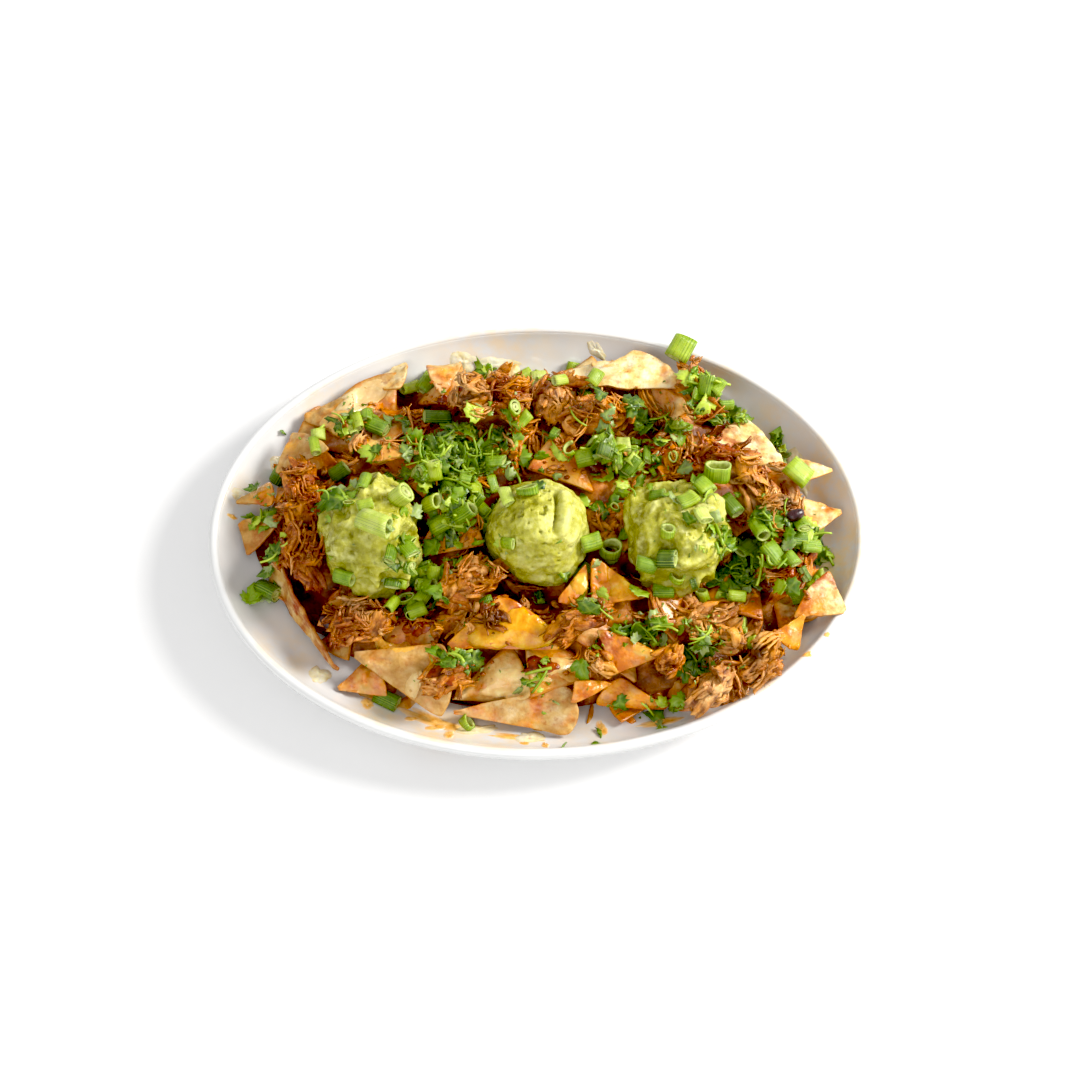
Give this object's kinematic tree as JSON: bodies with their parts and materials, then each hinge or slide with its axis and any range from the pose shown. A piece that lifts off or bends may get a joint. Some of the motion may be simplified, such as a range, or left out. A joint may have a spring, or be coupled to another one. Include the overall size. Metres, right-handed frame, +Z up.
{
  "type": "plate of nachos",
  "caption": "Oval coupe platter piled with tortilla chips, pulled pork and melted cheese, topped with guacamole scoops, spring onion and coriander.",
  "frame": {"origin": "centre of the platter's footprint, on the surface it stands on", "axes": "+X along the platter's long axis, to the right as the dish is served; +Y to its far side; +Z up"},
  "size_m": [0.33, 0.24, 0.0809],
  "materials": {
    "glaze": "glossy white glaze",
    "tortilla": "fried corn tortilla, blistered, oily in places",
    "guacamole": "moist mashed avocado",
    "pulled_pork": "shredded roast meat, moist with sauce",
    "pork_and_cheese": "shredded meat, sauce, broken chips and melted cheese",
    "spring_onion": "fresh cut green stalk, satin",
    "coriander": "fresh chopped leaf, satin",
    "melted_cheese": "melted, oily, slightly translucent",
    "sauce": "wet red chile sauce and oil"
  },
  "bodies": {
    "root": {"chip_back_corner": "tortilla", "chip_back_left": "tortilla", "chip_back_left_yellow": "tortilla", "chip_back_middle": "tortilla", "chip_back_right": "tortilla", "chip_centre_folded": "tortilla", "chip_centre_front": "tortilla", "chip_centre_left": "tortilla", "chip_centre_right": "tortilla", "chip_crown_folded": "tortilla", "chip_front_left_tall": "tortilla", "chip_front_left_under": "tortilla", "chip_front_left_wedge": "tortilla", "chip_front_long": "tortilla", "chip_front_oily": "tortilla", "chip_front_small": "tortilla", "chip_left_flat": "tortilla", "chip_left_folded": "tortilla", "chip_left_orange": "tortilla", "chip_left_tan": "tortilla", "chip_right_cream": "tortilla", "chip_right_curled": "tortilla", "chip_right_low": "tortilla", "chip_right_orange": "tortilla", "guacamole_left": "guacamole", "guacamole_middle": "guacamole", "guacamole_right": "guacamole", "nacho_heap": "pork_and_cheese", "onion_double_ring": "spring_onion", "onion_large": "spring_onion", "onion_right_rim": "spring_onion", "onion_rim": "spring_onion", "onion_scoop_left": "spring_onion", "onion_single_ring": "spring_onion", "platter": "glaze", "pork_back_curl": "pulled_pork", "pork_back_dark": "pulled_pork", "pork_back_pale": "pulled_pork", "pork_back_right_sauced": "pulled_pork", "pork_back_shreds": "pulled_pork", "pork_back_strip": "pulled_pork", "pork_centre_charred": "pulled_pork", "pork_centre_shreds": "pulled_pork", "pork_front_pink": "pulled_pork", "pork_front_right_chunk": "pulled_pork", "pork_front_right_left": "pulled_pork", "pork_front_right_outer": "pulled_pork", "pork_front_right_top": "pulled_pork", "pork_front_shreds": "pulled_pork", "pork_left_chunk": "pulled_pork", "pork_left_clump": "pulled_pork", "pork_left_shreds": "pulled_pork", "pork_right_pale": "pulled_pork", "pork_right_sauced": "pulled_pork"}
  },
  "joints": []
}
